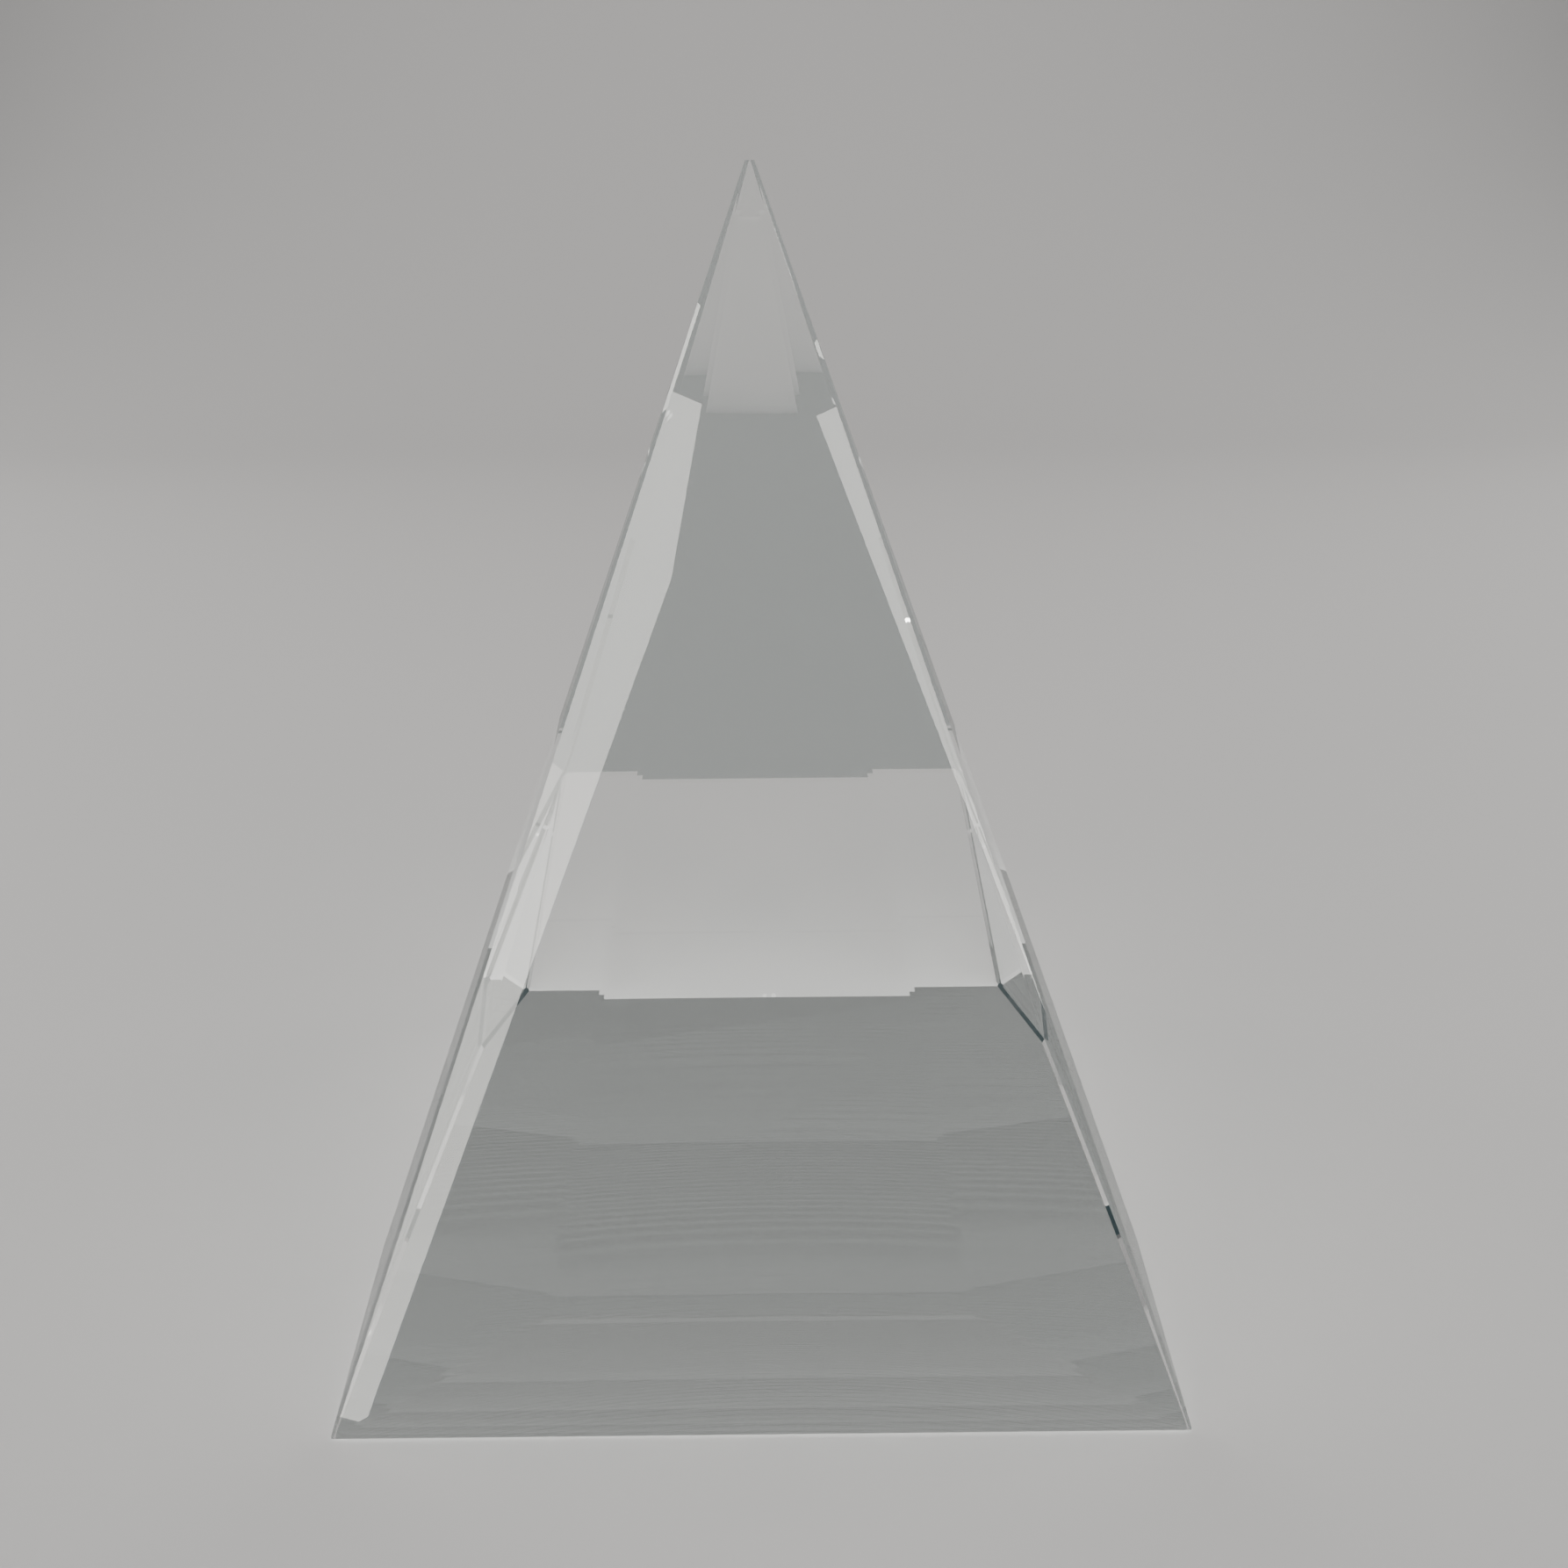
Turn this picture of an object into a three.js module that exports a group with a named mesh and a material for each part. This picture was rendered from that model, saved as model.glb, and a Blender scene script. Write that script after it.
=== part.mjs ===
// A crystal award: a faceted peak, cut and polished from one block of clear optical crystal.
// Millimetres, +Z up. The origin is the middle of the block's own footprint box, at the level it stands on.
// The front faces -Y: it carries the tall main face and the short skirt facet under it.
import * as THREE from 'three';
import { ConvexGeometry } from 'three/addons/geometries/ConvexGeometry.js';
import { ConvexHull } from 'three/addons/math/ConvexHull.js';

// Driving dimensions. A half width is measured from the plane of symmetry, X = 0.
const HEIGHT = 137.5; // where the ridges would meet
const TIP_Y = 4.4;
const TIP_FLAT = 1.6; // how much of the sharp point is polished away
const FRONT_FOOT = { half: 50, y: -55.6, z: 0 };
const FRONT_GIRDLE = { half: 24.1, y: -53.5, z: 16.3 }; // where the main face meets the skirt facet
const SIDE_GIRDLE = { half: 45, y: -42.6, z: 17 };
const SIDE_FOOT = { half: 36, y: 31.4, z: 0 };
const BACK_FOOT = { half: 29.5, y: 48.9, z: 0 };
const BACK_GIRDLE = { half: 23.5, y: 55.6, z: 34.1 };
const EDGE_BEVEL = 0.65; // width of the polished bevel along each edge
const CLEAR_CRYSTAL = 0xeef3f1;

const SAME_POINT = 1e-3; // two vertices nearer than this are one
const INSIDE = 1e-6; // how far past a plane rounding may put a vertex
const SAME_PLANE = 1e-7; // how nearly parallel two facets are when they are one
const PAIR = [-1, 1]; // the left and the right of the block

// The point where three planes meet, or null where two of them are parallel.
function meeting(a, b, c) {
  const across = new THREE.Vector3().crossVectors(b.normal, c.normal);
  const volume = a.normal.dot(across);
  if (Math.abs(volume) < INSIDE) return null;
  const point = across.multiplyScalar(-a.constant);
  point.addScaledVector(new THREE.Vector3().crossVectors(c.normal, a.normal), -b.constant);
  point.addScaledVector(new THREE.Vector3().crossVectors(a.normal, b.normal), -c.constant);
  return point.divideScalar(volume);
}

// Every corner of the convex solid that lies behind all the planes.
function cornersBehind(planes) {
  const found = [];
  for (let i = 0; i < planes.length; i += 1) {
    for (let j = i + 1; j < planes.length; j += 1) {
      for (let k = j + 1; k < planes.length; k += 1) {
        const point = meeting(planes[i], planes[j], planes[k]);
        if (!point) continue;
        if (planes.some((plane) => plane.distanceToPoint(point) > INSIDE)) continue;
        if (found.some((other) => other.distanceTo(point) < SAME_POINT)) continue;
        found.push(point);
      }
    }
  }
  return found;
}

// The flat facets that span a set of points, one plane each.
function facetsOf(points) {
  const facets = [];
  new ConvexHull().setFromPoints(points).faces.forEach((face) => {
    const plane = new THREE.Plane(face.normal.clone(), -face.constant);
    if (!facets.some((other) => other.normal.dot(plane.normal) > 1 - SAME_PLANE)) facets.push(plane);
  });
  return facets;
}

// The bevel of the edge where two facets meet: it leans half way between them and is `width` wide.
function bevel(first, second, width) {
  const normal = first.normal.clone().add(second.normal).normalize();
  const halfTurn = first.normal.angleTo(second.normal) / 2;
  const edgeConstant = (first.constant + second.constant) / (2 * Math.cos(halfTurn));
  return new THREE.Plane(normal, edgeConstant + (width / 2) * Math.tan(halfTurn));
}

// Two facets share an edge where two of the solid's corners lie on both.
function shareEdge(first, second, corners) {
  const onBoth = corners.filter(
    (point) => Math.abs(first.distanceToPoint(point)) < SAME_POINT
      && Math.abs(second.distanceToPoint(point)) < SAME_POINT,
  );
  return onBoth.length > 1;
}

function bevelsOf(facets) {
  const corners = cornersBehind(facets);
  const bevels = [];
  facets.forEach((first, index) => {
    facets.slice(index + 1).forEach((second) => {
      if (shareEdge(first, second, corners)) bevels.push(bevel(first, second, EDGE_BEVEL));
    });
  });
  return bevels;
}

const tip = new THREE.Vector3(0, TIP_Y, HEIGHT);
const cornerPairs = [FRONT_FOOT, FRONT_GIRDLE, SIDE_GIRDLE, SIDE_FOOT, BACK_FOOT, BACK_GIRDLE];
const outline = cornerPairs.flatMap(({ half, y, z }) => PAIR.map((side) => new THREE.Vector3(side * half, y, z)));
const facets = facetsOf([tip, ...outline]);
const tipFlat = new THREE.Plane(new THREE.Vector3(0, 0, 1), TIP_FLAT - HEIGHT);
const planes = [...facets, ...bevelsOf(facets), tipFlat];

const material = new THREE.MeshStandardMaterial({ color: CLEAR_CRYSTAL, roughness: 0.02, metalness: 0 });
const crystal = new THREE.Mesh(new ConvexGeometry(cornersBehind(planes)), material);
crystal.name = 'crystal_body';

const award = new THREE.Group();
award.add(crystal);

export default award;
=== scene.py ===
# A cut crystal award on a plain pale floor, in soft studio light.
# Metres, +Z up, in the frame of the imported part.
from math import cos, pi, radians, sin

import bpy
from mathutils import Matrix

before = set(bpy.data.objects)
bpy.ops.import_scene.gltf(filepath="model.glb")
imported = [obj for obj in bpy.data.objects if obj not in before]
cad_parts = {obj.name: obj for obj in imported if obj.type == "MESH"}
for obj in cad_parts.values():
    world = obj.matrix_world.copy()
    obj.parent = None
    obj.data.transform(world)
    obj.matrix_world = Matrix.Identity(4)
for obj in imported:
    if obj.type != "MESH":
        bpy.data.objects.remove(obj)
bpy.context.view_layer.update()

CRYSTAL = "crystal_body"

# Optics of the crystal
CRYSTAL_IOR = 1.517
CRYSTAL_TINT = (0.985, 0.995, 0.99, 1)
SHADOW_TINT = (0.80, 0.83, 0.83, 1)  # what a lamp's light keeps after crossing the block
POLISH = 0.0  # roughness of a clean polished facet
SMUDGED = 0.06  # roughness of a facet where handling has dulled it
HAZE_SCALE = 38.0  # patches of haze per metre, about
HAZE_DETAIL = 6.0
HAZE_SWIRL = 1.2
HAZE_STARTS = 0.66  # noise value where the haze begins
HAZE_FULL = 0.86  # noise value where it is at its dullest

# Stage
FLOOR_COLOUR = (0.40, 0.39, 0.40, 1)
FLOOR_ROUGHNESS = 0.85
FLOOR_HALF = 1.6
SWEEP_START = 0.55  # how far behind the origin the floor starts to curve up
SWEEP_RADIUS = 0.5
SWEEP_STEPS = 24
WALL_TOP = 1.6

# Light
LAMP_COLOUR = (1.0, 0.985, 0.93)
ROOM_COLOUR = (0.035, 0.055, 0.06, 1)
SIDES = (-1, 1)
CEILING = {"at": (0, 0.25, 1.1), "turn": (0, 0, 0), "size": (0.7, 0.5), "power": 7}
STRIP = {"at": (0.75, -0.75, 0.5), "turn": (65, 0, 45), "size": (0.3, 0.9), "power": 9}
EDGE = {"at": (0.8, 0.35, 0.3), "turn": (75, 0, 115), "size": (0.25, 0.6), "power": 5}

# Camera
CAMERA_AT = (0.00287, -0.18661, 0.13786)
CAMERA_TURN = (66.95, 0.45, -0.35)  # degrees about X, Y and Z
SENSOR = 36.0
LENS = 34.67
NEAREST = 0.005

BOUNCES = 32  # light crosses many facets inside the block


def new_material(name):
    material = bpy.data.materials.new(name)
    material.use_nodes = True
    tree = material.node_tree
    tree.nodes.clear()
    return material, tree


def haze_noise(tree):
    place = tree.nodes.new("ShaderNodeTexCoord")
    noise = tree.nodes.new("ShaderNodeTexNoise")
    noise.inputs["Scale"].default_value = HAZE_SCALE
    noise.inputs["Detail"].default_value = HAZE_DETAIL
    noise.inputs["Distortion"].default_value = HAZE_SWIRL
    tree.links.new(place.outputs["Object"], noise.inputs["Vector"])
    return noise.outputs["Fac"]


def haze_roughness(tree):
    """Clean polish over most of the block, dulled a little where the noise is high."""
    spread = tree.nodes.new("ShaderNodeMapRange")
    spread.clamp = True
    spread.inputs["From Min"].default_value = HAZE_STARTS
    spread.inputs["From Max"].default_value = HAZE_FULL
    spread.inputs["To Min"].default_value = POLISH
    spread.inputs["To Max"].default_value = SMUDGED
    tree.links.new(haze_noise(tree), spread.inputs["Value"])
    return spread.outputs["Result"]


def crystal_material():
    """Clear crystal. Rays towards a lamp pass straight through, tinted, so the block's shadow is light."""
    material, tree = new_material("clear_crystal")
    glass = tree.nodes.new("ShaderNodeBsdfPrincipled")
    glass.inputs["Base Color"].default_value = CRYSTAL_TINT
    glass.inputs["IOR"].default_value = CRYSTAL_IOR
    glass.inputs["Transmission Weight"].default_value = 1.0
    tree.links.new(haze_roughness(tree), glass.inputs["Roughness"])
    lamp_way = tree.nodes.new("ShaderNodeBsdfTransparent")
    lamp_way.inputs["Color"].default_value = SHADOW_TINT
    path = tree.nodes.new("ShaderNodeLightPath")
    mix = tree.nodes.new("ShaderNodeMixShader")
    output = tree.nodes.new("ShaderNodeOutputMaterial")
    tree.links.new(path.outputs["Is Shadow Ray"], mix.inputs[0])
    tree.links.new(glass.outputs[0], mix.inputs[1])
    tree.links.new(lamp_way.outputs[0], mix.inputs[2])
    tree.links.new(mix.outputs[0], output.inputs["Surface"])
    return material


def finish_crystal():
    """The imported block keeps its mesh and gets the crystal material."""
    material = crystal_material()
    for slot in bpy.data.objects[CRYSTAL].material_slots:
        slot.material = material


def floor_material():
    material, tree = new_material("pale_floor")
    surface = tree.nodes.new("ShaderNodeBsdfPrincipled")
    surface.inputs["Base Color"].default_value = FLOOR_COLOUR
    surface.inputs["Roughness"].default_value = FLOOR_ROUGHNESS
    output = tree.nodes.new("ShaderNodeOutputMaterial")
    tree.links.new(surface.outputs[0], output.inputs["Surface"])
    return material


def sweep_profile():
    """(y, z) from the floor's near edge, round the curve and up the wall."""
    points = [(-FLOOR_HALF, 0.0), (SWEEP_START, 0.0)]
    for step in range(1, SWEEP_STEPS + 1):
        turn = pi / 2 * step / SWEEP_STEPS
        points.append((SWEEP_START + SWEEP_RADIUS * sin(turn), SWEEP_RADIUS * (1 - cos(turn))))
    points.append((SWEEP_START + SWEEP_RADIUS, WALL_TOP))
    return points


def build_stage():
    profile = sweep_profile()
    vertices = [(x, y, z) for y, z in profile for x in (-FLOOR_HALF, FLOOR_HALF)]
    faces = [(2 * i, 2 * i + 1, 2 * i + 3, 2 * i + 2) for i in range(len(profile) - 1)]
    mesh = bpy.data.meshes.new("floor_sweep")
    mesh.from_pydata(vertices, [], faces)
    mesh.materials.append(floor_material())
    mesh.shade_smooth()
    floor = bpy.data.objects.new("floor_sweep", mesh)
    bpy.context.collection.objects.link(floor)


def add_softbox(name, box, side=1):
    """A rectangular lamp, mirrored to the left of the block where side is -1."""
    lamp = bpy.data.lights.new(name, "AREA")
    lamp.shape = "RECTANGLE"
    lamp.size, lamp.size_y = box["size"]
    lamp.energy = box["power"]
    lamp.color = LAMP_COLOUR
    softbox = bpy.data.objects.new(name, lamp)
    x, y, z = box["at"]
    pitch, roll, yaw = box["turn"]
    softbox.location = (side * x, y, z)
    softbox.rotation_euler = (radians(pitch), radians(roll), radians(side * yaw))
    bpy.context.collection.objects.link(softbox)


def light_room():
    world = bpy.data.worlds.new("room")
    world.use_nodes = True
    world.node_tree.nodes["Background"].inputs["Color"].default_value = ROOM_COLOUR
    bpy.context.scene.world = world
    add_softbox("ceiling", CEILING)
    for side in SIDES:
        add_softbox("strip", STRIP, side)
        add_softbox("edge", EDGE, side)


def place_camera():
    lens = bpy.data.cameras.new("camera")
    lens.sensor_width = SENSOR
    lens.lens = LENS
    lens.clip_start = NEAREST
    camera = bpy.data.objects.new("camera", lens)
    camera.location = CAMERA_AT
    camera.rotation_euler = [radians(angle) for angle in CAMERA_TURN]
    bpy.context.collection.objects.link(camera)
    bpy.context.scene.camera = camera


def set_light_paths():
    cycles = bpy.context.scene.cycles
    cycles.max_bounces = BOUNCES
    cycles.transmission_bounces = BOUNCES
    cycles.glossy_bounces = BOUNCES
    cycles.transparent_max_bounces = BOUNCES


finish_crystal()
build_stage()
light_room()
place_camera()
set_light_paths()
